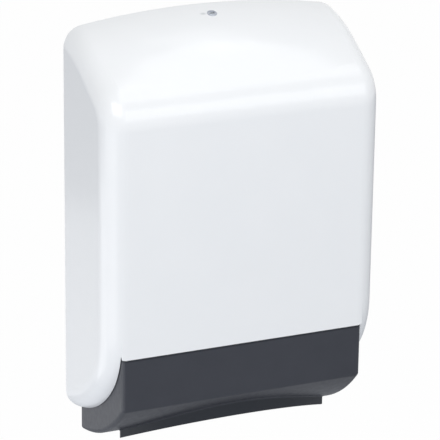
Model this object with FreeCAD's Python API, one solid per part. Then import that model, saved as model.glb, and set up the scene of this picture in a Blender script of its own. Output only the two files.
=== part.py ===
# Wall dispenser for folded paper towels: a hooded cover hinged at its foot over a fixed
# outlet tray, with a cam lock at the top. The back plate carries everything.
# Millimetres. +Z is up, +X is right and the front faces -Y. The wall is the plane y = 0,
# and the origin is on it, midway between the four wall screws.
import FreeCAD, Part
import math
import os

V = FreeCAD.Vector

# Driving dimensions of the whole object
WIDTH = 302.4
DEPTH = 113.5
CREASE_Z = -177.0          # height of the fold between the tray's front and its underside
TOP_Z = CREASE_Z + 384.7   # crown of the hood at the wall
EDGE_R = 22.0              # round that runs along the sides of the cover

# Cover
COVER_WALL = 3.0
COVER_BACK = -0.5          # the rear edge stands this far off the wall
ARCH_R = 838.0             # crown of the hood, seen from the front
HOOD_R = 151.0             # the hood's side view: a long round, a straight line and the brow
HOOD_LEAN = 8.3            # slope of the hood at the wall, degrees
BROW_R = 47.2              # round between the hood and the flat front
BROW_Z = CREASE_Z + 292.6  # where that round meets the flat front
LOBE_TOP_Z = CREASE_Z + 80.0
LOBE_JOIN_Z = CREASE_Z + 87.0
LOBE_FRONT_R = 98.0
LOBE_FRONT_TURN = 42.3
LOBE_UNDER_R = 169.0
HINGE_ROUND_R = 11.0       # rear foot of the lobe, concentric with the hinge pin
LAP_ANGLE = 58.0           # slope of the lap joint between the cover and the tray
LAP_GAP = 0.6
COVER_SIDE_GAP = 0.8
SKIRT_LAP = 5.0            # how far the flat front overlaps the lap joint before it is cut
HOOD_RIB_X = (-85.0, -26.0, 26.0, 85.0)
HOOD_RIB_WALL = 2.0
HOOD_RIB_FRONT = -48.0
HOOD_RIB_DROP = 26.0
LOCK_PAD_R = 8.1
LOCK_PAD = 1.5             # the pad under the hood that the lock's washer bears on

# Outlet tray
TRAY_WIDTH = 267.4
TRAY_WALL = 2.5
PANEL_HEIGHT = 55.1
UNDERSIDE_DROP = 62.8
UNDERSIDE_START = 48.8     # slope of the underside at the crease, degrees below level
CREASE_R = 5.0
TRAY_EDGE_R = 4.5
LIP_WIDTH = 231.6
LIP_WALL = 2.4
LIP_END_Y = -64.2          # the lip's line at its two ends, and at its middle
LIP_MID_Y = -99.5
LIP_END_Z = CREASE_Z - 49.6
LIP_RISE = 0.585           # its lower edge rises towards the front, in a plane
LIP_REACH = 20.0           # more than the lip's greatest height
LIP_ROOT_R = 2.0
SLOT_WIDTH = 212.0
SLOT_BACK_Y = -24.0
SLOT_LEDGE = 1.0
SLOT_CORNER_R = 8.0
RIB_COUNT = 7
RIB_WALL = 1.8
RIB_RISE = 16.0            # top of the ribs at the front panel, above the crease
RIB_MARGIN = 20.0          # from the tray's side to the first rib
RIB_BACK_HEIGHT = 4.0
TRAY_WEB_Y = -12.5         # rear face of the web that is screwed to the back plate
TRAY_WEB_TOP = CREASE_Z - 31.0
TRAY_WEB_HALF = 112.0
TRAY_SCREW_Z = CREASE_Z - 42.0
TRAY_SCREW_X = (-95.0, -32.0, 32.0, 95.0)

# Back plate
PLATE = 2.5
PLATE_GAP = 5.0            # between the plate's rim and the inside of the cover
RIM_DEPTH = 9.5
PLATE_SHOULDER_Z = CREASE_Z + 68.0
PLATE_FOOT_Z = CREASE_Z - 54.0
SCREW_SPACING_X = 200.0
SCREW_SPACING_Z = 250.0
WALL_SCREW_R = 2.75
SLOT_LENGTH = 14.0
PAD_HALF_X = 14.0
PAD_HALF_Z = 9.0
PAD_HEIGHT = 2.0
PAD_CORNER_R = 6.0
EAR_R = 9.0
EAR_WALL = 4.5
EAR_X = TRAY_WIDTH / 2 - TRAY_WALL - 0.5 - EAR_WALL
PLATE_CORNER_R = 16.0
PLATE_RIM = 2.5
PLATE_RIB = 3.5
BOSS_OUT_R = 4.0

# Towel guides
GUIDE_X = 127.0
GUIDE_WALL = 2.0
GUIDE_FOOT = 12.0
GUIDE_SCREW_X = 134.5
GUIDE_FRONT_Y = -92.0
GUIDE_FOOT_Z = PLATE_SHOULDER_Z + 6.0
GUIDE_TOP_Z = CREASE_Z + 302.0
GUIDE_WINDOWS = 4
GUIDE_CORNER_R = 18.0
GUIDE_WINDOW_R = 8.0
GUIDE_WINDOW_HALF = 18.0
GUIDE_GUSSET = 14.0
GUIDE_SCREW_INSET = 25.0

# Hinge pins
PIN_R = 2.5
PIN_PLAY = 0.05
PIN_WALL_PLAY = 0.4
BOSS_R = 7.0
BOSS_WEB = 2.4
BOSS_WEB_REACH = 30.0
PIN_END_X = WIDTH / 2 - 5.0

# Lock, along an axis square to the hood
LOCK_Y = -24.0
SLEEVE_R = 4.4
SLEEVE_PLAY = 0.1
SLEEVE_LENGTH = 18.0
BEZEL_R = 5.2
BEZEL_HEIGHT = 1.0
PLUG_R = 3.3
PLUG_PLAY = 0.05
CAM_LENGTH = 12.0
CAM_WALL = 1.6
NUT_ACROSS = 13.0
NUT_HEIGHT = 3.5
WASHER_TOP = -COVER_WALL - LOCK_PAD
WASHER = 0.8
PLUG_FACE = 0.6            # the plug's face sits just below the bezel's
CAM_SQUARE = 4.4
CAM_HUB_R = 5.5
CAM_TIP_R = 3.5
CAM_TOP = -SLEEVE_LENGTH - 0.3
KEY_SLOT = 4.4
KEY_WIDTH = 1.3
KEY_DEPTH = 6.0

# Catch
CATCH_X = 11.5
CATCH_Z = CREASE_Z + 344.0
CATCH_WALL = 2.0
CATCH_HALF = 4.5
CATCH_FOOT_HALF = 14.0
CATCH_FOOT_HALF_Z = 7.0
CATCH_CORNER_R = 3.0
CATCH_SCREW_PITCH = 18.0
CATCH_FRONT_Y = -24.8
CATCH_TOP_Z = CREASE_Z + 365.0

# Screws that hold the tray, the towel guides and the catch
SCREW_R = 1.5
SCREW_PLAY = 0.2
SCREW_TIP_Y = -1.4
SCREW_HEAD_R = 3.1
SCREW_HEAD_HEIGHT = 2.2
SCREW_HEAD_ROUND = 1.2
CAM_SCREW_LENGTH = 6.0


# Small helpers

def yz(points, x):
    """Turn (y, z) pairs into points on the plane at x."""
    return [V(x, y, z) for y, z in points]


def line(a, b):
    return Part.LineSegment(a, b).toShape()


def arc(a, middle, b):
    return Part.Arc(a, middle, b).toShape()


def prism_x(points, x0, x1):
    """Extrude a closed (y, z) polygon from x0 to x1."""
    corners = yz(points, x0)
    face = Part.Face(Part.makePolygon(corners + corners[:1]))
    return face.extrude(V(x1 - x0, 0, 0))


def wire_prism_x(edges, length):
    """Extrude a closed outline drawn on one plane along +X."""
    return Part.Face(Part.Wire(edges)).extrude(V(length, 0, 0))


def box(x0, x1, y0, y1, z0, z1):
    return Part.makeBox(x1 - x0, y1 - y0, z1 - z0, V(x0, y0, z0))


def rounded_plate(x0, x1, y0, y1, z0, z1, radius):
    """A plate that lies along the wall, with its four corners rounded in front view."""
    plate = box(x0, x1, y0, y1, z0, z1)
    corners = [e for e in plate.Edges if abs(e.Vertexes[0].Y - e.Vertexes[-1].Y) > 1e-6]
    return plate.makeFillet(radius, corners)


def rod_x(radius, x0, x1, y, z):
    return Part.makeCylinder(radius, x1 - x0, V(x0, y, z), V(1, 0, 0))


def rod_y(radius, y0, y1, x, z):
    return Part.makeCylinder(radius, y1 - y0, V(x, y0, z), V(0, 1, 0))


def join(shapes):
    """Fuse a list of solids and merge the faces that continue each other."""
    first, rest = shapes[0], shapes[1:]
    return first.multiFuse(rest).removeSplitter() if rest else first


def one_solid(shape):
    """The largest solid of a result, so that slivers never reach the file."""
    return max(shape.Solids, key=lambda s: s.Volume)


def mirrored(shape):
    return shape.mirror(V(0, 0, 0), V(1, 0, 0))


def both_sides(shape):
    return [shape, mirrored(shape)]


# Geometry shared by several pieces

def direction(angle):
    """Unit (y, z) vector that points out of the underside, from the front round to below."""
    a = math.radians(angle)
    return -math.cos(a), -math.sin(a)


def lobe_points():
    """Join points and arc centres of the lobe's outline, and the hinge centre."""
    turn = LOBE_FRONT_TURN
    c1 = (-DEPTH + LOBE_FRONT_R, LOBE_TOP_Z)
    n = direction(turn)
    p1 = (c1[0] + LOBE_FRONT_R * n[0], c1[1] + LOBE_FRONT_R * n[1])
    c2 = (p1[0] - LOBE_UNDER_R * n[0], p1[1] - LOBE_UNDER_R * n[1])
    hinge_y = COVER_BACK - HINGE_ROUND_R
    cos_end = (c2[0] - hinge_y) / (LOBE_UNDER_R - HINGE_ROUND_R)
    sin_end = math.sqrt(1 - cos_end * cos_end)
    hinge_z = c2[1] - (LOBE_UNDER_R - HINGE_ROUND_R) * sin_end
    return c1, c2, (hinge_y, hinge_z)


C1, C2, HINGE = lobe_points()
HINGE_Y, HINGE_Z = HINGE


def crown_z(x):
    """Height of the hood's crown above the wall line at x."""
    return TOP_Z - (ARCH_R - math.sqrt(ARCH_R * ARCH_R - x * x))


def hood_centre(x):
    """Centre of the hood's long round at x, in side view."""
    lean = math.radians(HOOD_LEAN)
    return HOOD_R * math.sin(lean), crown_z(x) - HOOD_R * math.cos(lean)


def hood_slope(x):
    """Slope of the straight line at x that touches the long round and the brow round."""
    y, z = hood_centre(x)
    dy, dz = BROW_R - DEPTH - y, BROW_Z - z
    return math.atan2(-dy, dz) - math.acos((HOOD_R - BROW_R) / math.hypot(dy, dz))


def on_round(centre, radius, slope):
    """The point of a round where its surface has the slope given."""
    return centre[0] - radius * math.sin(slope), centre[1] + radius * math.cos(slope)


LOCK_TILT = math.asin((hood_centre(0.0)[0] - LOCK_Y) / HOOD_R)
LOCK_AXIS = V(0, -math.sin(LOCK_TILT), math.cos(LOCK_TILT))
LOCK_POINT = V(0, *on_round(hood_centre(0.0), HOOD_R, LOCK_TILT))


def lock_rod(radius, top, bottom):
    """A rod on the lock's axis, between two distances above the hood's surface."""
    return Part.makeCylinder(radius, top - bottom, LOCK_POINT + LOCK_AXIS * bottom, LOCK_AXIS)


# Cover

def hood_outline(x, inset, back):
    """Side view of the hood at x, moved inwards by the inset."""
    slope = hood_slope(x)
    long_centre = hood_centre(x)
    long_round = HOOD_R - inset
    start = math.asin((long_centre[0] - back) / long_round)
    brow_centre = (BROW_R - DEPTH, BROW_Z)
    brow = BROW_R - inset
    points = [(back, LOBE_JOIN_Z), on_round(long_centre, long_round, start),
              on_round(long_centre, long_round, (start + slope) / 2),
              on_round(long_centre, long_round, slope), on_round(brow_centre, brow, slope),
              on_round(brow_centre, brow, (slope + math.pi / 2) / 2),
              (-DEPTH + inset, BROW_Z), (-DEPTH + inset, LOBE_JOIN_Z)]
    a, b, bm, c, d, dm, e, f = yz(points, x)
    return Part.Wire([line(a, b), arc(b, bm, c), line(c, d), arc(d, dm, e), line(e, f), line(f, a)])


def edges_at_ends(shape, half_width, keep):
    """Edges of the two flat ends of a body that the test keeps."""
    found = []
    for edge in shape.Edges:
        bounds = edge.BoundBox
        at_end = abs(abs(bounds.XMin) - half_width) < 0.01 and bounds.XLength < 0.01
        if at_end and keep(bounds):
            found.append(edge)
    return found


def hood_body(inset, back):
    """Hood and straight upper part, lofted through seven side views and rounded."""
    half = WIDTH / 2 - inset
    stations = [half * i / 3 for i in range(-3, 4)]
    body = Part.makeLoft([hood_outline(x, inset, back) for x in stations], True, False)

    def outer(bounds):
        on_back = bounds.YLength < 0.01 and bounds.YMax > back - 0.01
        on_foot = bounds.ZMax < LOBE_JOIN_Z + 0.01
        return not on_back and not on_foot
    return body.makeFillet(EDGE_R - inset, edges_at_ends(body, half, outer))


def lobe_body(inset, back):
    """Lower part of the cover, down to the two lobes, with the same rounded edge."""
    half = WIDTH / 2 - inset
    r1 = LOBE_FRONT_R - inset
    r2 = LOBE_UNDER_R - inset

    def at(centre, radius, angle):
        n = direction(angle)
        return (centre[0] + radius * n[0], centre[1] + radius * n[1])
    turn = LOBE_FRONT_TURN
    end = math.degrees(math.acos((C2[0] - back) / r2))
    points = [(back, LOBE_JOIN_Z), (-DEPTH + inset, LOBE_JOIN_Z), at(C1, r1, 0),
              at(C1, r1, turn / 2), at(C1, r1, turn), at(C2, r2, (turn + end) / 2), at(C2, r2, end)]
    a, b, c, cm, d, dm, e = yz(points, -half)
    body = wire_prism_x([line(a, b), line(b, c), arc(c, cm, d), arc(d, dm, e), line(e, a)], 2 * half)

    def outer(bounds):
        on_back = bounds.YLength < 0.01 and bounds.YMax > back - 0.01
        on_top = bounds.ZMin > LOBE_JOIN_Z - 0.01
        return not on_back and not on_top
    body = body.makeFillet(EDGE_R - inset, edges_at_ends(body, half, outer))
    return body.cut(hinge_corner(inset, half))


def hinge_corner(inset, half):
    """What is cut away so that the lobe's rear foot is round about the hinge."""
    corner = box(-half - 1, half + 1, HINGE_Y, HINGE_Y + 40, HINGE_Z - 60, HINGE_Z)
    return corner.cut(rod_x(HINGE_ROUND_R - inset, -half - 2, half + 2, HINGE_Y, HINGE_Z))


def lap_line(y, gap):
    """Height of the slanted lap joint at y."""
    return CREASE_Z + PANEL_HEIGHT + gap + (y + DEPTH) * math.tan(math.radians(LAP_ANGLE))


def tray_room():
    """Space between the lobes that the cover leaves free for the tray."""
    half = TRAY_WIDTH / 2 + COVER_SIDE_GAP
    y0, y1 = -DEPTH - 4, -DEPTH + 5
    top = lap_line(y1, LAP_GAP)
    floor = CREASE_Z - 120
    points = [(y0, lap_line(y0, LAP_GAP)), (y1, top), (40, top), (40, floor), (y0, floor)]
    return prism_x(points, -half, half)


def front_skirt():
    """Flat front between the lobes, which runs straight down to the tray."""
    half = TRAY_WIDTH / 2 + COVER_SIDE_GAP
    foot = CREASE_Z + PANEL_HEIGHT - SKIRT_LAP
    block = box(-WIDTH / 2, WIDTH / 2, -DEPTH, -DEPTH + 2 * EDGE_R, foot, LOBE_JOIN_Z)
    corners = [e for e in block.Edges if e.BoundBox.ZLength > 1 and e.BoundBox.YMax < 0.01 - DEPTH]
    block = block.makeFillet(EDGE_R, corners)
    return block.common(box(-half, half, -DEPTH - 1, -DEPTH + COVER_WALL, foot, LOBE_JOIN_Z))


def hinge_boss(body):
    """Bearing boss in the right-hand lobe."""
    half = BOSS_WEB / 2
    boss = rod_x(BOSS_R, TRAY_WIDTH / 2 + 2, WIDTH / 2, HINGE_Y, HINGE_Z)
    web = box(WIDTH / 2 - 14, WIDTH / 2, HINGE_Y - BOSS_WEB_REACH, HINGE_Y, HINGE_Z - half, HINGE_Z + half)
    return join([boss, web]).common(body)


def cover_ribs(body):
    """Ribs under the hood that stiffen the lock and the shoulders."""
    ribs = []
    half = HOOD_RIB_WALL / 2
    for x in HOOD_RIB_X:
        ribs.append(box(x - half, x + half, HOOD_RIB_FRONT, -RIM_DEPTH - 3, TOP_Z - HOOD_RIB_DROP, TOP_Z))
    return [rib.common(body) for rib in ribs]


def make_cover():
    outer = join([hood_body(0.0, COVER_BACK), lobe_body(0.0, COVER_BACK)])
    inner = join([hood_body(COVER_WALL, 20.0), lobe_body(COVER_WALL, 20.0)])
    shell = outer.cut(inner)
    pad = lock_rod(LOCK_PAD_R, 1.0, -COVER_WALL - LOCK_PAD).common(outer)
    parts = [shell, front_skirt(), pad] + cover_ribs(outer)
    shell = join(parts).cut(tray_room())
    shell = join([shell] + both_sides(hinge_boss(outer)))
    shell = shell.cut(lock_rod(SLEEVE_R + SLEEVE_PLAY, 10, -20))
    bores = both_sides(rod_x(PIN_R + PIN_PLAY, TRAY_WIDTH / 2, PIN_END_X + 0.5, HINGE_Y, HINGE_Z))
    return one_solid(shell.cut(Part.makeCompound(bores)))


# Outlet tray

def underside():
    """Centre and radius of the underside's arc, worked out from its chord."""
    rise = math.atan2(UNDERSIDE_DROP, DEPTH)
    half_turn = math.radians(UNDERSIDE_START) - rise
    radius = math.hypot(UNDERSIDE_DROP, DEPTH) / (2 * math.sin(half_turn))
    start = math.radians(UNDERSIDE_START)
    centre = (-DEPTH + radius * math.sin(start), CREASE_Z + radius * math.cos(start))
    return centre, radius


UNDER_C, UNDER_R = underside()


def underside_z(y, offset=0.0):
    """Height of the underside at y, moved outwards by the offset."""
    radius = UNDER_R + offset
    return UNDER_C[1] - math.sqrt(radius * radius - (y - UNDER_C[0]) ** 2)


def tray_block(inset, top, back, drop=0.0):
    """Solid block under the tray's outline, moved inwards by the inset."""
    front = -DEPTH + inset
    middle = (front + back) / 2
    points = [(back, top), (front, top), (front, underside_z(front, -inset) - drop),
              (middle, underside_z(middle, -inset) - drop), (back, underside_z(back, -inset) - drop)]
    half = TRAY_WIDTH / 2 - inset
    a, b, c, m, d = yz(points, -half)
    return wire_prism_x([line(a, b), line(b, c), arc(c, m, d), line(d, a)], 2 * half)


def bevel_line(y):
    return (y, lap_line(y, 0.0))


def tray_body():
    """Outline of the whole tray as one solid block, with its outer edges rounded."""
    top = lap_line(-DEPTH + COVER_WALL, 0.0)
    body = tray_block(0.0, top, 0.0)
    creases = []
    for edge in body.Edges:
        bounds = edge.BoundBox
        if bounds.XLength > 10 and abs(bounds.YMax + DEPTH) < 0.01 and bounds.ZMax < CREASE_Z + 1:
            creases.append(edge)
    body = body.makeFillet(CREASE_R, creases)
    sides = []
    for edge in body.Edges:
        bounds = edge.BoundBox
        at_side = bounds.XLength < 0.01
        if at_side and bounds.YMin < -20 and not (bounds.YLength > 10 and bounds.ZMin > top - 0.01):
            sides.append(edge)
    return body.makeFillet(TRAY_EDGE_R, sides)


def lip_bow(offset, half, z):
    """Ends and middle of the lip's line in plan, moved back by the offset."""
    bow_r = (LIP_WIDTH ** 2 / 4 + (LIP_END_Y - LIP_MID_Y) ** 2) / (2 * (LIP_END_Y - LIP_MID_Y))
    middle = LIP_MID_Y + offset
    end = middle + bow_r - math.sqrt(bow_r * bow_r - half * half)
    return V(-half, end, z), V(0, middle, z), V(half, end, z)


def lip_edge(y):
    """A point of the plane that the lip's lower edge lies in."""
    return y, LIP_END_Z + (LIP_END_Y - y) * LIP_RISE


def lip_band():
    """The lip as an upright band, bowed forward in plan, whose lower edge rises to the front."""
    z = CREASE_Z - 80
    a, m, b = lip_bow(0.0, LIP_WIDTH / 2, z)
    d, n, c = lip_bow(LIP_WALL, LIP_WIDTH / 2, z)
    outline = Part.Wire([arc(a, m, b), line(b, c), arc(c, n, d), line(d, a)])
    band = Part.Face(outline).extrude(V(0, 0, 80))
    above = prism_x([lip_edge(-DEPTH), lip_edge(0.0), (0.0, CREASE_Z + 5), (-DEPTH, CREASE_Z + 5)],
                    -LIP_WIDTH, LIP_WIDTH)
    return band.common(tray_block(0.5, CREASE_Z + 5, 0.0, LIP_REACH)).common(above)


def lip_root(body):
    """The edges where the lip leaves the underside, in front and at its two ends."""
    found = []
    for edge in body.Edges:
        x, y, z = edge.valueAt((edge.FirstParameter + edge.LastParameter) / 2)
        on_underside = abs(z - underside_z(y)) < 0.01
        in_front = abs(y - LIP_MID_Y) < 0.1
        at_end = abs(abs(x) - LIP_WIDTH / 2) < 0.01
        if on_underside and (in_front or at_end):
            found.append(edge)
    return found


def outlet_slot():
    """Opening behind the lip, where the towels are pulled out."""
    z = CREASE_Z - 90
    a, m, b = lip_bow(LIP_WALL + SLOT_LEDGE, SLOT_WIDTH / 2, z)
    c, d = V(b.x, SLOT_BACK_Y, z), V(a.x, SLOT_BACK_Y, z)
    face = Part.Face(Part.Wire([arc(a, m, b), line(b, c), line(c, d), line(d, a)]))
    slot = face.extrude(V(0, 0, 100))
    corners = [e for e in slot.Edges if e.BoundBox.ZLength > 50]
    return slot.makeFillet(SLOT_CORNER_R, corners)


def tray_ribs():
    """Upright ribs in front of the slot that carry the towels' front edge."""
    front = -DEPTH + TRAY_WALL
    back = LIP_MID_Y
    low = underside_z(back, -1.0)
    points = [(front - 1, CREASE_Z + RIB_RISE), (front - 1, CREASE_Z - 1), (back, low),
              (back, low + RIB_BACK_HEIGHT)]
    pitch = (TRAY_WIDTH - 2 * RIB_MARGIN) / (RIB_COUNT - 1)
    inside = tray_block(1.0, CREASE_Z + 50, 0.0)
    ribs = []
    for i in range(RIB_COUNT):
        x = -TRAY_WIDTH / 2 + RIB_MARGIN + i * pitch
        ribs.append(prism_x(points, x - RIB_WALL / 2, x + RIB_WALL / 2).common(inside))
    return ribs


def tray_back_wall():
    """Upright web inside the tray that is screwed to the back plate."""
    web = box(-TRAY_WEB_HALF, TRAY_WEB_HALF, TRAY_WEB_Y - TRAY_WALL, TRAY_WEB_Y,
              CREASE_Z - UNDERSIDE_DROP, TRAY_WEB_TOP)
    return web.common(tray_block(1.0, CREASE_Z, 0.0))


def make_tray():
    body = join([tray_body(), lip_band()])
    body = body.makeFillet(LIP_ROOT_R, lip_root(body))
    top = lap_line(-DEPTH + COVER_WALL, 0.0)
    inner = tray_block(TRAY_WALL, top + 10, 10.0)
    bevel = prism_x([bevel_line(-DEPTH - 1), bevel_line(-DEPTH + 6), (-DEPTH - 1, top + 10)],
                    -TRAY_WIDTH, TRAY_WIDTH)
    shell = body.cut(inner).cut(bevel)
    shell = join([shell, tray_back_wall()] + tray_ribs()).cut(outlet_slot())
    free = SCREW_R + SCREW_PLAY
    half = TRAY_WIDTH / 2
    holes = [rod_y(free, TRAY_WEB_Y - 5, TRAY_WEB_Y + 1, x, TRAY_SCREW_Z) for x in TRAY_SCREW_X]
    holes += both_sides(rod_x(PIN_R + PIN_WALL_PLAY, half - 5, half + 1, HINGE_Y, HINGE_Z))
    return one_solid(shell.cut(Part.makeCompound(holes)))


# Back plate

def plate_outline(inset, y):
    """Front view of the back plate: wide with an arched top, and narrow inside the tray."""
    wide = WIDTH / 2 - COVER_WALL - PLATE_GAP - inset
    narrow = TRAY_WIDTH / 2 - TRAY_WALL - 1.0 - inset
    foot = PLATE_FOOT_Z + inset
    shoulder = PLATE_SHOULDER_Z + inset
    crown = TOP_Z - COVER_WALL - PLATE_GAP - inset
    drop = crown_z(0) - crown_z(wide)
    corners = [V(-narrow, y, foot), V(narrow, y, foot), V(narrow, y, shoulder), V(wide, y, shoulder),
               V(wide, y, crown - drop), V(0, y, crown), V(-wide, y, crown - drop),
               V(-wide, y, shoulder), V(-narrow, y, shoulder)]
    a, b, c, d, e, m, f, g, h = corners
    return Part.Wire([line(a, b), line(b, c), line(c, d), line(d, e), arc(e, m, f),
                      line(f, g), line(g, h), line(h, a)])


def plate_body(inset, y0, y1):
    body = Part.Face(plate_outline(inset, y0)).extrude(V(0, y1 - y0, 0))
    corners = []
    for edge in body.Edges:
        bounds = edge.BoundBox
        outer_corner = abs(bounds.XMin) > 120 and (bounds.ZMin > 150 or bounds.ZMax < PLATE_FOOT_Z + 10)
        if bounds.YLength > y1 - y0 - 0.01 and bounds.XLength < 0.01 and outer_corner:
            corners.append(edge)
    return body.makeFillet(PLATE_CORNER_R - inset, corners)


def plate_ribs():
    """Low ribs that stiffen the plate between the towel guides."""
    half = GUIDE_X - 1.0
    front = -PLATE - PLATE_RIB
    ribs = []
    for z in (-60.0, 0.0, 60.0):
        ribs.append(box(-half, half, front, -PLATE, z - 1, z + 1))
    for x in (-60.0, 60.0):
        ribs.append(box(x - 1, x + 1, front, -PLATE, PLATE_SHOULDER_Z, CATCH_Z - 12))
    return ribs


def wall_screw_places():
    places = []
    for x in (-SCREW_SPACING_X / 2, SCREW_SPACING_X / 2):
        for z in (-SCREW_SPACING_Z / 2, SCREW_SPACING_Z / 2):
            places.append((x, z))
    return places


def wall_screw_hole(x, z):
    """Round hole below, level slot above, through the plate and its pad."""
    hole = rod_y(WALL_SCREW_R, -20, 1, x, z)
    if z < 0:
        return hole
    reach = SLOT_LENGTH / 2 - WALL_SCREW_R
    slot = box(x - reach, x + reach, -20, 1, z - WALL_SCREW_R, z + WALL_SCREW_R)
    ends = [rod_y(WALL_SCREW_R, -20, 1, x + dx, z) for dx in (-reach, reach)]
    return join([slot] + ends)


def hinge_ear():
    """Lug beside the tray's wall that holds the right-hand hinge pin."""
    lug = rod_x(EAR_R, EAR_X, EAR_X + EAR_WALL, HINGE_Y, HINGE_Z)
    foot = box(EAR_X, EAR_X + EAR_WALL, HINGE_Y, -PLATE, HINGE_Z - EAR_R, HINGE_Z + EAR_R)
    return join([lug, foot])


def make_back_plate():
    plate = plate_body(0.0, -PLATE, 0.0)
    rim = plate_body(0.0, -RIM_DEPTH, -PLATE).cut(plate_body(PLATE_RIM, -RIM_DEPTH - 1, 0.0))
    pads = []
    for x, z in wall_screw_places():
        pads.append(rounded_plate(x - PAD_HALF_X, x + PAD_HALF_X, -PLATE - PAD_HEIGHT, -PLATE,
                                  z - PAD_HALF_Z, z + PAD_HALF_Z, PAD_CORNER_R))
    parts = [plate, rim] + pads + plate_ribs() + both_sides(hinge_ear())
    parts += [rod_y(BOSS_OUT_R, TRAY_WEB_Y, -PLATE, x, TRAY_SCREW_Z) for x in TRAY_SCREW_X]
    plate = join(parts)
    holes = [wall_screw_hole(x, z) for x, z in wall_screw_places()]
    bottom = SCREW_TIP_Y + 0.4
    holes += [rod_y(SCREW_R, TRAY_WEB_Y - 1, bottom, x, TRAY_SCREW_Z) for x in TRAY_SCREW_X]
    holes += [rod_y(SCREW_R, -10, bottom, x, z) for x, z in guide_screw_places() + catch_screw_places()]
    holes += both_sides(rod_x(PIN_R, EAR_X - 3, EAR_X + EAR_WALL + 1, HINGE_Y, HINGE_Z))
    return one_solid(plate.cut(Part.makeCompound(holes)))


# Towel guides

def guide_screw_places():
    places = []
    for x in (-GUIDE_SCREW_X, GUIDE_SCREW_X):
        for z in (GUIDE_FOOT_Z + GUIDE_SCREW_INSET, GUIDE_TOP_Z - GUIDE_SCREW_INSET):
            places.append((x, z))
    return places


def make_guide():
    """Right-hand towel guide: an upright fin on a foot that is screwed to the plate."""
    y0, y1 = GUIDE_FRONT_Y, -PLATE
    fin = box(GUIDE_X, GUIDE_X + GUIDE_WALL, y0, y1, GUIDE_FOOT_Z, GUIDE_TOP_Z)
    front = [e for e in fin.Edges if e.BoundBox.XLength > 1 and e.BoundBox.YMax < y0 + 0.01]
    fin = fin.makeFillet(GUIDE_CORNER_R, front)
    foot = box(GUIDE_X, GUIDE_X + GUIDE_FOOT, y1 - GUIDE_WALL, y1, GUIDE_FOOT_Z, GUIDE_TOP_Z)
    windows = []
    pitch = (GUIDE_TOP_Z - GUIDE_FOOT_Z) / GUIDE_WINDOWS
    for i in range(GUIDE_WINDOWS):
        z = GUIDE_FOOT_Z + (i + 0.5) * pitch
        window = box(GUIDE_X - 1, GUIDE_X + GUIDE_WALL + 1, y0 + 22, y1 - 20,
                     z - GUIDE_WINDOW_HALF, z + GUIDE_WINDOW_HALF)
        across = [e for e in window.Edges if e.BoundBox.XLength > 1]
        windows.append(window.makeFillet(GUIDE_WINDOW_R, across))
    gussets = []
    for i in range(GUIDE_WINDOWS + 1):
        z = GUIDE_FOOT_Z + 4 + i * (GUIDE_TOP_Z - GUIDE_FOOT_Z - 8) / GUIDE_WINDOWS
        corner = [V(GUIDE_X, y1 - 1, z - 1), V(GUIDE_X + GUIDE_FOOT, y1 - 1, z - 1),
                  V(GUIDE_X, y1 - GUIDE_GUSSET, z - 1)]
        gussets.append(Part.Face(Part.makePolygon(corner + corner[:1])).extrude(V(0, 0, 2)))
    guide = join([fin, foot] + gussets).cut(Part.makeCompound(windows))
    holes = [rod_y(SCREW_R + SCREW_PLAY, -10, 0, x, z) for x, z in guide_screw_places() if x > 0]
    return one_solid(guide.cut(Part.makeCompound(holes)))


# Lock, and the catch that its cam turns behind

def make_sleeve():
    """Threaded sleeve with its round bezel."""
    bezel = lock_rod(BEZEL_R, BEZEL_HEIGHT, 0.0)
    rim = []
    for edge in bezel.Edges:
        height = (edge.CenterOfMass - LOCK_POINT).dot(LOCK_AXIS)
        if edge.Length > 6 * BEZEL_R and height > BEZEL_HEIGHT / 2:
            rim.append(edge)
    bezel = bezel.makeFillet(BEZEL_HEIGHT * 0.6, rim)
    sleeve = join([bezel, lock_rod(SLEEVE_R, 0.0, -SLEEVE_LENGTH)])
    return sleeve.cut(lock_rod(PLUG_R + PLUG_PLAY, 5, -SLEEVE_LENGTH - 1))


def key_slot():
    """Straight key slot across the plug's face."""
    slot = Part.makeBox(KEY_SLOT, KEY_WIDTH, KEY_DEPTH)
    slot.translate(V(-KEY_SLOT / 2, -KEY_WIDTH / 2, 0))
    slot.rotate(V(0, 0, 0), V(1, 0, 0), math.degrees(LOCK_TILT))
    slot.translate(LOCK_POINT + LOCK_AXIS * (BEZEL_HEIGHT - KEY_DEPTH))
    return slot


def square_bar(side, top, bottom):
    """A square bar on the lock's axis."""
    bar = Part.makeBox(side, side, top - bottom)
    bar.translate(V(-side / 2, -side / 2, 0))
    bar.rotate(V(0, 0, 0), V(1, 0, 0), math.degrees(LOCK_TILT))
    bar.translate(LOCK_POINT + LOCK_AXIS * bottom)
    return bar


def make_plug():
    """Plug that the key turns, with the square that drives the cam."""
    plug = lock_rod(PLUG_R, PLUG_FACE, -SLEEVE_LENGTH - 0.3)
    square = square_bar(CAM_SQUARE, -SLEEVE_LENGTH, CAM_TOP - CAM_WALL)
    body = join([plug, square]).cut(key_slot())
    foot = CAM_TOP - CAM_WALL
    return one_solid(body.cut(lock_rod(SCREW_R, foot + CAM_SCREW_LENGTH, foot - 1)))


def make_cam():
    """Cam at rest, unlocked: it points to the wall. A quarter turn takes it behind the catch."""
    hub = lock_rod(CAM_HUB_R, CAM_TOP, CAM_TOP - CAM_WALL)
    reach = CAM_LENGTH - CAM_TIP_R
    arm = Part.makeBox(2 * CAM_TIP_R, reach, CAM_WALL)
    arm.translate(V(-CAM_TIP_R, 0, 0))
    tip = Part.makeCylinder(CAM_TIP_R, CAM_WALL, V(0, reach, 0))
    arm = join([arm, tip])
    arm.rotate(V(0, 0, 0), V(1, 0, 0), math.degrees(LOCK_TILT))
    arm.translate(LOCK_POINT + LOCK_AXIS * (CAM_TOP - CAM_WALL))
    return join([hub, arm]).cut(square_bar(CAM_SQUARE, CAM_TOP + 1, CAM_TOP - CAM_WALL - 1))


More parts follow.
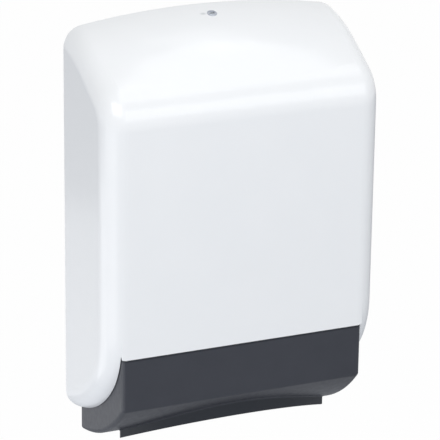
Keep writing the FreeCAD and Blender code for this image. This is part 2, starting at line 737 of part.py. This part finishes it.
def hexagon(across, top, bottom):
    """Hexagonal bar on the lock's axis."""
    corner = across / math.sqrt(3)
    angles = [math.radians(60 * i) for i in range(7)]
    points = [V(corner * math.cos(a), corner * math.sin(a), 0) for a in angles]
    bar = Part.Face(Part.makePolygon(points)).extrude(V(0, 0, top - bottom))
    bar.rotate(V(0, 0, 0), V(1, 0, 0), math.degrees(LOCK_TILT))
    bar.translate(LOCK_POINT + LOCK_AXIS * bottom)
    return bar


def make_washer():
    disc = lock_rod(NUT_ACROSS / 2, WASHER_TOP, WASHER_TOP - WASHER)
    return disc.cut(lock_rod(SLEEVE_R + SLEEVE_PLAY, 0, -20))


def make_nut():
    top = WASHER_TOP - WASHER
    return hexagon(NUT_ACROSS, top, top - NUT_HEIGHT).cut(lock_rod(SLEEVE_R, 0, -20))


def make_cam_screw():
    under = CAM_TOP - CAM_WALL
    head = lock_rod(SCREW_HEAD_R, under, under - SCREW_HEAD_HEIGHT)
    return join([head, lock_rod(SCREW_R, under + CAM_SCREW_LENGTH, under)])


def catch_screw_places():
    half = CATCH_SCREW_PITCH / 2
    return [(CATCH_X - half, CATCH_Z), (CATCH_X + half, CATCH_Z)]


def make_catch():
    """Bent steel hook beside the lock: foot on the plate, arm, and the upright the cam goes behind."""
    foot_top = CATCH_Z + CATCH_FOOT_HALF_Z
    arm_foot = foot_top - CATCH_WALL
    foot = rounded_plate(CATCH_X - CATCH_FOOT_HALF, CATCH_X + CATCH_FOOT_HALF, -PLATE - CATCH_WALL,
                         -PLATE, CATCH_Z - CATCH_FOOT_HALF_Z, foot_top, CATCH_CORNER_R)
    front = CATCH_FRONT_Y
    x0, x1 = CATCH_X - CATCH_HALF, CATCH_X + CATCH_HALF
    arm = box(x0, x1, front, -PLATE, arm_foot, foot_top)
    hook = box(x0, x1, front, front + CATCH_WALL, arm_foot, CATCH_TOP_Z)
    strip = join([arm, hook])
    bend = []
    for edge in strip.Edges:
        bounds = edge.BoundBox
        at_bend = abs(bounds.YMin - front) < 0.01 and abs(bounds.ZMin - arm_foot) < 0.01
        if at_bend and bounds.XLength > 2 * CATCH_HALF - 0.1:
            bend.append(edge)
    strip = strip.makeFillet(CATCH_WALL * 0.9, bend)
    holes = [rod_y(SCREW_R + SCREW_PLAY, -20, 0, x, z) for x, z in catch_screw_places()]
    return one_solid(join([foot, strip]).cut(Part.makeCompound(holes)))


# Small screws and pins

def wall_side_screw(x, z, seat_y):
    """Pan-head screw that runs towards the wall from the face at seat_y."""
    head = rod_y(SCREW_HEAD_R, seat_y - SCREW_HEAD_HEIGHT, seat_y, x, z)
    front = [e for e in head.Edges if e.BoundBox.YMax < seat_y - SCREW_HEAD_HEIGHT + 0.01]
    head = head.makeFillet(SCREW_HEAD_ROUND, front)
    return join([head, rod_y(SCREW_R, seat_y, SCREW_TIP_Y, x, z)])


def screw_group(places, seat_y):
    return Part.makeCompound([wall_side_screw(x, z, seat_y) for x, z in places])


def make_hinge_pin():
    pin = rod_x(PIN_R, EAR_X, PIN_END_X, HINGE_Y, HINGE_Z)
    return pin.makeChamfer(0.5, [e for e in pin.Edges if e.BoundBox.XLength < 0.01])


def make_parts():
    guide = make_guide()
    pin = make_hinge_pin()
    tray_screws = [(x, TRAY_SCREW_Z) for x in TRAY_SCREW_X]
    return {
        "back_plate": make_back_plate(),
        "cover": make_cover(),
        "outlet_tray": make_tray(),
        "hinge_pin_right": pin,
        "hinge_pin_left": mirrored(pin),
        "towel_guide_right": guide,
        "towel_guide_left": mirrored(guide),
        "guide_screws": screw_group(guide_screw_places(), -PLATE - GUIDE_WALL),
        "tray_screws": screw_group(tray_screws, TRAY_WEB_Y - TRAY_WALL),
        "lock_sleeve": make_sleeve(),
        "lock_plug": make_plug(),
        "lock_cam": make_cam(),
        "lock_washer": make_washer(),
        "lock_nut": make_nut(),
        "cam_screw": make_cam_screw(),
        "catch_hook": make_catch(),
        "catch_screws": screw_group(catch_screw_places(), -PLATE - CATCH_WALL),
    }


os.makedirs("parts", exist_ok=True)
for name, shape in make_parts().items():
    shape.exportStep("parts/" + name + ".step")
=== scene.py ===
import math

import bmesh
import bpy
from mathutils import Matrix, Vector


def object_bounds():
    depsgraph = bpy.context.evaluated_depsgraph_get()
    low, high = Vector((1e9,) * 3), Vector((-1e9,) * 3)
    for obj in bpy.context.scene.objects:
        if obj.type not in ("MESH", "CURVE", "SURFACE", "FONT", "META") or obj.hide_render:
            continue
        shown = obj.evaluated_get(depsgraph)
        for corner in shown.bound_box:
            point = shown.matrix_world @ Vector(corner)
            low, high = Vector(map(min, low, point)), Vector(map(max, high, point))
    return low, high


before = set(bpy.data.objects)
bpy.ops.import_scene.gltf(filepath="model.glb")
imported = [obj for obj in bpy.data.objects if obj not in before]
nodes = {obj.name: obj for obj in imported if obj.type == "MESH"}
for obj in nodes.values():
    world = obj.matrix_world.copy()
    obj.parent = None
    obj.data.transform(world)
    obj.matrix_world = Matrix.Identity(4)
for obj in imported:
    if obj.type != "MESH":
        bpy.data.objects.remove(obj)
cad_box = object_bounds()

MM = 0.001

# Camera of the photograph, in metres and degrees
CAMERA_PLACE = (-1.0213, -2.2815, 0.8199)
CAMERA_TURN = -24.59
CAMERA_DROP = 18.67
CAMERA_ROLL = 0.739
LENS_PIXELS = 2527.0
FRAME_PIXELS = 440.0
SENSOR = 36.0

# Room and lamps
ROOM_LIGHT = 0.38
WHITE = (1.0, 1.0, 1.0, 1.0)
FLOOR_COLOUR = (0.84, 0.87, 0.93, 1.0)
FLOOR_ROUGHNESS = 0.9
FLOOR_RADIUS = 8.0
FLOOR_SEGMENTS = 96
FLOOR_DROP = 1.0        # below the dispenser's lowest point
FLOOR_GLOW = 0.985      # how much of the floor that the camera sees is plain white
LAMP_TARGET = (0.0, -0.05, 0.0)
LAMPS = {  # place, size and power
    "hood_streak": ((0.7, 0.2, 2.0), (0.8, 0.4), 0.8),
    "front_above": ((-0.9, -1.95, 1.8), (2.2, 1.4), 35.0),
    "brow_right": ((1.0, -2.1, 1.0), (1.6, 1.0), 8.5),
    "edge_left_low": ((-1.3, -0.7, -0.5), (1.6, 0.8), 4.6),
    "overhead": ((0.7, -0.7, 2.2), (1.6, 1.2), 8.5),
    "side_left_low": ((-1.2, 0.3, -0.7), (0.8, 0.8), 3.2),
    "side_mirrored": ((-0.75, 1.2, -0.75), (1.2, 0.6), 1.1),
}

# The tray's underside is rounded about a line, and the lip stands out past its radius; past that
# radius the tray is painted darker, as painted shade on the turned-down lip.
UNDERSIDE_CENTRE = (0.0, 30.26 * MM, -51.15 * MM)
UNDERSIDE_R = 191.06 * MM
LIP_PAINTED_SHADE = (0.0025, 0.004, 0.0075)
LIP_SHADE_SHARE = 0.8
LIP_STARTS = UNDERSIDE_R - 1.0 * MM
LIP_FULL = UNDERSIDE_R + 1.5 * MM

# The top edge of the tray's front panel is painted darker: a painted shadow in the joint with the
# cover.
PANEL_TOP = -121.9 * MM
JOINT_PAINTED_SHADOW = (0.0035, 0.005, 0.009)
JOINT_SHADOW_SHARE = 0.8
JOINT_STARTS = PANEL_TOP - 2.2 * MM
JOINT_FULL = PANEL_TOP - 1.0 * MM

# A small grey spot beside the lock
SPOT_PLACE = (-9.2 * MM, -22.8 * MM, 202.5 * MM)
SPOT_AXES = (0.7, 1.0, 1.0)
SPOT_TONE = (0.35, 0.38, 0.42)
SPOT_SHARE = 0.4
SPOT_INNER = 0.8 * MM
SPOT_OUTER = 3.0 * MM

ABS_IOR = 1.5


# Materials

class Shader:
    """A material whose nodes are added one by one round a Principled shader."""

    def __init__(self, name, **sockets):
        self.material = bpy.data.materials.new(name)
        self.material.use_nodes = True
        self.tree = self.material.node_tree
        self.surface = self.tree.nodes["Principled BSDF"]
        for socket, value in sockets.items():
            self.surface.inputs[socket.replace("_", " ")].default_value = value
        self.place = self.add("ShaderNodeTexCoord").outputs["Object"]

    def add(self, kind, **sockets):
        node = self.tree.nodes.new(kind)
        for socket, value in sockets.items():
            node.inputs[socket.replace("_", " ")].default_value = value
        return node

    def link(self, output, target):
        self.tree.links.new(output, target)

    def noise(self, size, detail=3.0):
        """Noise whose blotches are about the size given, in metres."""
        noise = self.add("ShaderNodeTexNoise", Scale=1.0 / size, Detail=detail, Roughness=0.5)
        self.link(self.place, noise.inputs["Vector"])
        return noise.outputs["Fac"]

    def ramp(self, value, low, high, from_low=0.3, from_high=0.7):
        """Spread a value between two numbers."""
        spread = self.add("ShaderNodeMapRange")
        spread.inputs["From Min"].default_value = from_low
        spread.inputs["From Max"].default_value = from_high
        spread.inputs["To Min"].default_value = low
        spread.inputs["To Max"].default_value = high
        self.link(value, spread.inputs["Value"])
        return spread.outputs["Result"]

    def mix(self, value, first, second):
        """Mix two colours by a value. The first may be an output of another node."""
        mix = self.tree.nodes.new("ShaderNodeMix")
        mix.data_type = "RGBA"
        slots = [slot for slot in mix.inputs if slot.type == "RGBA"]
        if isinstance(first, tuple):
            slots[0].default_value = (*first, 1.0)
        else:
            self.link(first, slots[0])
        slots[1].default_value = (*second, 1.0)
        self.link(value, mix.inputs[0])
        return [slot for slot in mix.outputs if slot.type == "RGBA"][0]

    def mottle(self, size, first, second):
        """Two colours mixed in blotches of the size given."""
        return self.mix(self.ramp(self.noise(size), 0.0, 1.0), first, second)

    def vector_step(self, operation, value, second=None):
        step = self.tree.nodes.new("ShaderNodeVectorMath")
        step.operation = operation
        self.link(value, step.inputs[0])
        if second is not None:
            step.inputs[1].default_value = second
        return step

    def away(self, centre, axes):
        """Distance from a line or point, measured along the axes given."""
        offset = self.vector_step("SUBTRACT", self.place, centre).outputs["Vector"]
        chosen = self.vector_step("MULTIPLY", offset, axes).outputs["Vector"]
        return self.vector_step("LENGTH", chosen).outputs["Value"]

    def height(self):
        """Height above the frame's origin."""
        parts = self.tree.nodes.new("ShaderNodeSeparateXYZ")
        self.link(self.place, parts.inputs[0])
        return parts.outputs["Z"]

    def colour(self, output):
        self.link(output, self.surface.inputs["Base Color"])

    def rough(self, size, low, high):
        """Roughness between two values, in blotches of the size given."""
        self.link(self.ramp(self.noise(size), low, high), self.surface.inputs["Roughness"])

    def grain(self, height, depth):
        """Surface relief of the depth given, in metres."""
        bump = self.add("ShaderNodeBump", Strength=1.0, Distance=depth)
        self.link(height, bump.inputs["Height"])
        self.link(bump.outputs["Normal"], self.surface.inputs["Normal"])


def cover_plastic():
    """Glossy white ABS: nearly even, with the faint waviness of a moulded wall."""
    m = Shader("white_gloss_abs", IOR=ABS_IOR)
    white = m.mottle(60 * MM, (0.85, 0.87, 0.893), (0.862, 0.88, 0.902))
    spot = m.ramp(m.away(SPOT_PLACE, SPOT_AXES), SPOT_SHARE, 0.0, SPOT_INNER, SPOT_OUTER)
    m.colour(m.mix(spot, white, SPOT_TONE))
    m.rough(14 * MM, 0.13, 0.19)
    m.grain(m.noise(9 * MM, 1.0), 0.02 * MM)
    return m.material


def tray_plastic():
    """Satin anthracite ABS with a fine spark-eroded grain, with painted shade where the rim turns
    down and a painted shadow along the front panel's top edge.
    """
    m = Shader("anthracite_satin_abs", IOR=ABS_IOR, Specular_Tint=(0.92, 0.96, 1.0, 1.0))
    anthracite = m.mottle(30 * MM, (0.0305, 0.0325, 0.042), (0.0345, 0.0368, 0.047))
    below = m.away(UNDERSIDE_CENTRE, (0.0, 1.0, 1.0))
    # painted shade: the tray is darkened where the lip turns down past the underside's radius
    lip_shade = m.ramp(below, 0.0, LIP_SHADE_SHARE, LIP_STARTS, LIP_FULL)
    # painted shadow: a dark line along the front panel's top edge, in the joint with the cover
    joint_shadow = m.ramp(m.height(), 0.0, JOINT_SHADOW_SHARE, JOINT_STARTS, JOINT_FULL)
    m.colour(m.mix(joint_shadow, m.mix(lip_shade, anthracite, LIP_PAINTED_SHADE), JOINT_PAINTED_SHADOW))
    m.rough(5 * MM, 0.36, 0.44)
    m.grain(m.noise(0.7 * MM, 2.0), 0.02 * MM)
    return m.material


def plate_plastic():
    """Matt light grey ABS of the hidden mouldings."""
    m = Shader("light_grey_abs", IOR=ABS_IOR)
    m.colour(m.mottle(25 * MM, (0.515, 0.525, 0.535), (0.53, 0.54, 0.547)))
    m.rough(4 * MM, 0.46, 0.56)
    m.grain(m.noise(0.9 * MM, 2.0), 0.03 * MM)
    return m.material


def lock_metal():
    """Nickel-plated zinc with fine turning marks."""
    m = Shader("nickel_plate", Metallic=1.0)
    m.colour(m.mottle(3 * MM, (0.4, 0.43, 0.48), (0.5, 0.53, 0.58)))
    m.rough(1.2 * MM, 0.2, 0.32)
    m.grain(m.noise(0.4 * MM, 2.0), 0.01 * MM)
    return m.material


def screw_metal():
    """Bright zinc plate on steel."""
    m = Shader("zinc_plate", Metallic=1.0)
    m.colour(m.mottle(4 * MM, (0.5, 0.52, 0.55), (0.62, 0.63, 0.65)))
    m.rough(1.5 * MM, 0.25, 0.42)
    m.grain(m.noise(0.5 * MM, 2.0), 0.02 * MM)
    return m.material


def finish_nodes():
    """Give every piece of the frame its material."""
    white = cover_plastic()
    dark = tray_plastic()
    grey = plate_plastic()
    nickel = lock_metal()
    zinc = screw_metal()
    finishes = {
        "cover": white,
        "outlet_tray": dark,
        "back_plate": grey,
        "towel_guide_right": grey,
        "towel_guide_left": grey,
        "lock_sleeve": nickel,
        "lock_plug": nickel,
        "lock_nut": nickel,
    }
    for name, piece in nodes.items():
        material = finishes.get(name, zinc)
        if piece.material_slots:
            for slot in piece.material_slots:
                slot.material = material
        else:
            piece.data.materials.append(material)


# Room, lamps and camera

def make_camera():
    data = bpy.data.cameras.new("camera")
    data.sensor_width = SENSOR
    data.lens = LENS_PIXELS / FRAME_PIXELS * SENSOR
    camera = bpy.data.objects.new("camera", data)
    turn = Matrix.Rotation(math.radians(CAMERA_TURN), 4, "Z")
    drop = Matrix.Rotation(math.radians(90 - CAMERA_DROP), 4, "X")
    roll = Matrix.Rotation(math.radians(CAMERA_ROLL), 4, "Z")
    camera.matrix_world = Matrix.Translation(CAMERA_PLACE) @ turn @ drop @ roll
    bpy.context.scene.collection.objects.link(camera)
    bpy.context.scene.camera = camera


def make_lamp(name, place, size, power):
    """A soft oblong lamp that looks at the dispenser."""
    data = bpy.data.lights.new(name, "AREA")
    data.shape = "RECTANGLE"
    data.size, data.size_y = size
    data.energy = power
    lamp = bpy.data.objects.new(name, data)
    aim = Vector(LAMP_TARGET) - Vector(place)
    lamp.matrix_world = Matrix.Translation(place) @ aim.to_track_quat("-Z", "Y").to_matrix().to_4x4()
    bpy.context.scene.collection.objects.link(lamp)


def ray_is(tree, kinds):
    """1 for rays of the kinds named and 0 for the light that falls on the object."""
    path = tree.nodes.new("ShaderNodeLightPath")
    found = path.outputs["Is %s Ray" % kinds[0]]
    for kind in kinds[1:]:
        either = tree.nodes.new("ShaderNodeMath")
        either.operation = "MAXIMUM"
        tree.links.new(found, either.inputs[0])
        tree.links.new(path.outputs["Is %s Ray" % kind], either.inputs[1])
        found = either.outputs[0]
    return found


def make_world():
    """A room that looks white and lights the dispenser softly."""
    world = bpy.data.worlds.new("studio")
    world.use_nodes = True
    tree = world.node_tree
    background = tree.nodes["Background"]
    background.inputs["Color"].default_value = WHITE
    level = tree.nodes.new("ShaderNodeMapRange")
    level.inputs["To Min"].default_value = ROOM_LIGHT
    level.inputs["To Max"].default_value = 1.0
    tree.links.new(ray_is(tree, ("Camera", "Glossy", "Transmission")), level.inputs["Value"])
    tree.links.new(level.outputs["Result"], background.inputs["Strength"])
    bpy.context.scene.world = world


def floor_paint():
    """Pale paint that the camera sees as nearly white, with the shadow left in it."""
    material = bpy.data.materials.new("floor")
    material.use_nodes = True
    tree = material.node_tree
    surface = tree.nodes["Principled BSDF"]
    surface.inputs["Base Color"].default_value = FLOOR_COLOUR
    surface.inputs["Roughness"].default_value = FLOOR_ROUGHNESS
    glow = tree.nodes.new("ShaderNodeEmission")
    blend = tree.nodes.new("ShaderNodeMixShader")
    share = tree.nodes.new("ShaderNodeMath")
    share.operation = "MULTIPLY"
    share.inputs[1].default_value = FLOOR_GLOW
    tree.links.new(ray_is(tree, ("Camera", "Transmission")), share.inputs[0])
    tree.links.new(share.outputs[0], blend.inputs["Fac"])
    tree.links.new(surface.outputs["BSDF"], blend.inputs[1])
    tree.links.new(glow.outputs["Emission"], blend.inputs[2])
    tree.links.new(blend.outputs["Shader"], tree.nodes["Material Output"].inputs["Surface"])
    return material


def make_floor():
    """A pale round floor below the dispenser, which would hang on a wall."""
    bm = bmesh.new()
    bmesh.ops.create_circle(bm, cap_ends=True, segments=FLOOR_SEGMENTS, radius=FLOOR_RADIUS)
    bmesh.ops.translate(bm, verts=bm.verts, vec=(0, 0, cad_box[0][2] - FLOOR_DROP))
    mesh = bpy.data.meshes.new("floor")
    bm.to_mesh(mesh)
    bm.free()
    mesh.materials.append(floor_paint())
    floor = bpy.data.objects.new("floor", mesh)
    bpy.context.scene.collection.objects.link(floor)


bpy.context.scene.view_settings.view_transform = "Standard"
make_camera()
make_world()
make_floor()
for name, (place, size, power) in LAMPS.items():
    make_lamp(name, place, size, power)

finish_nodes()
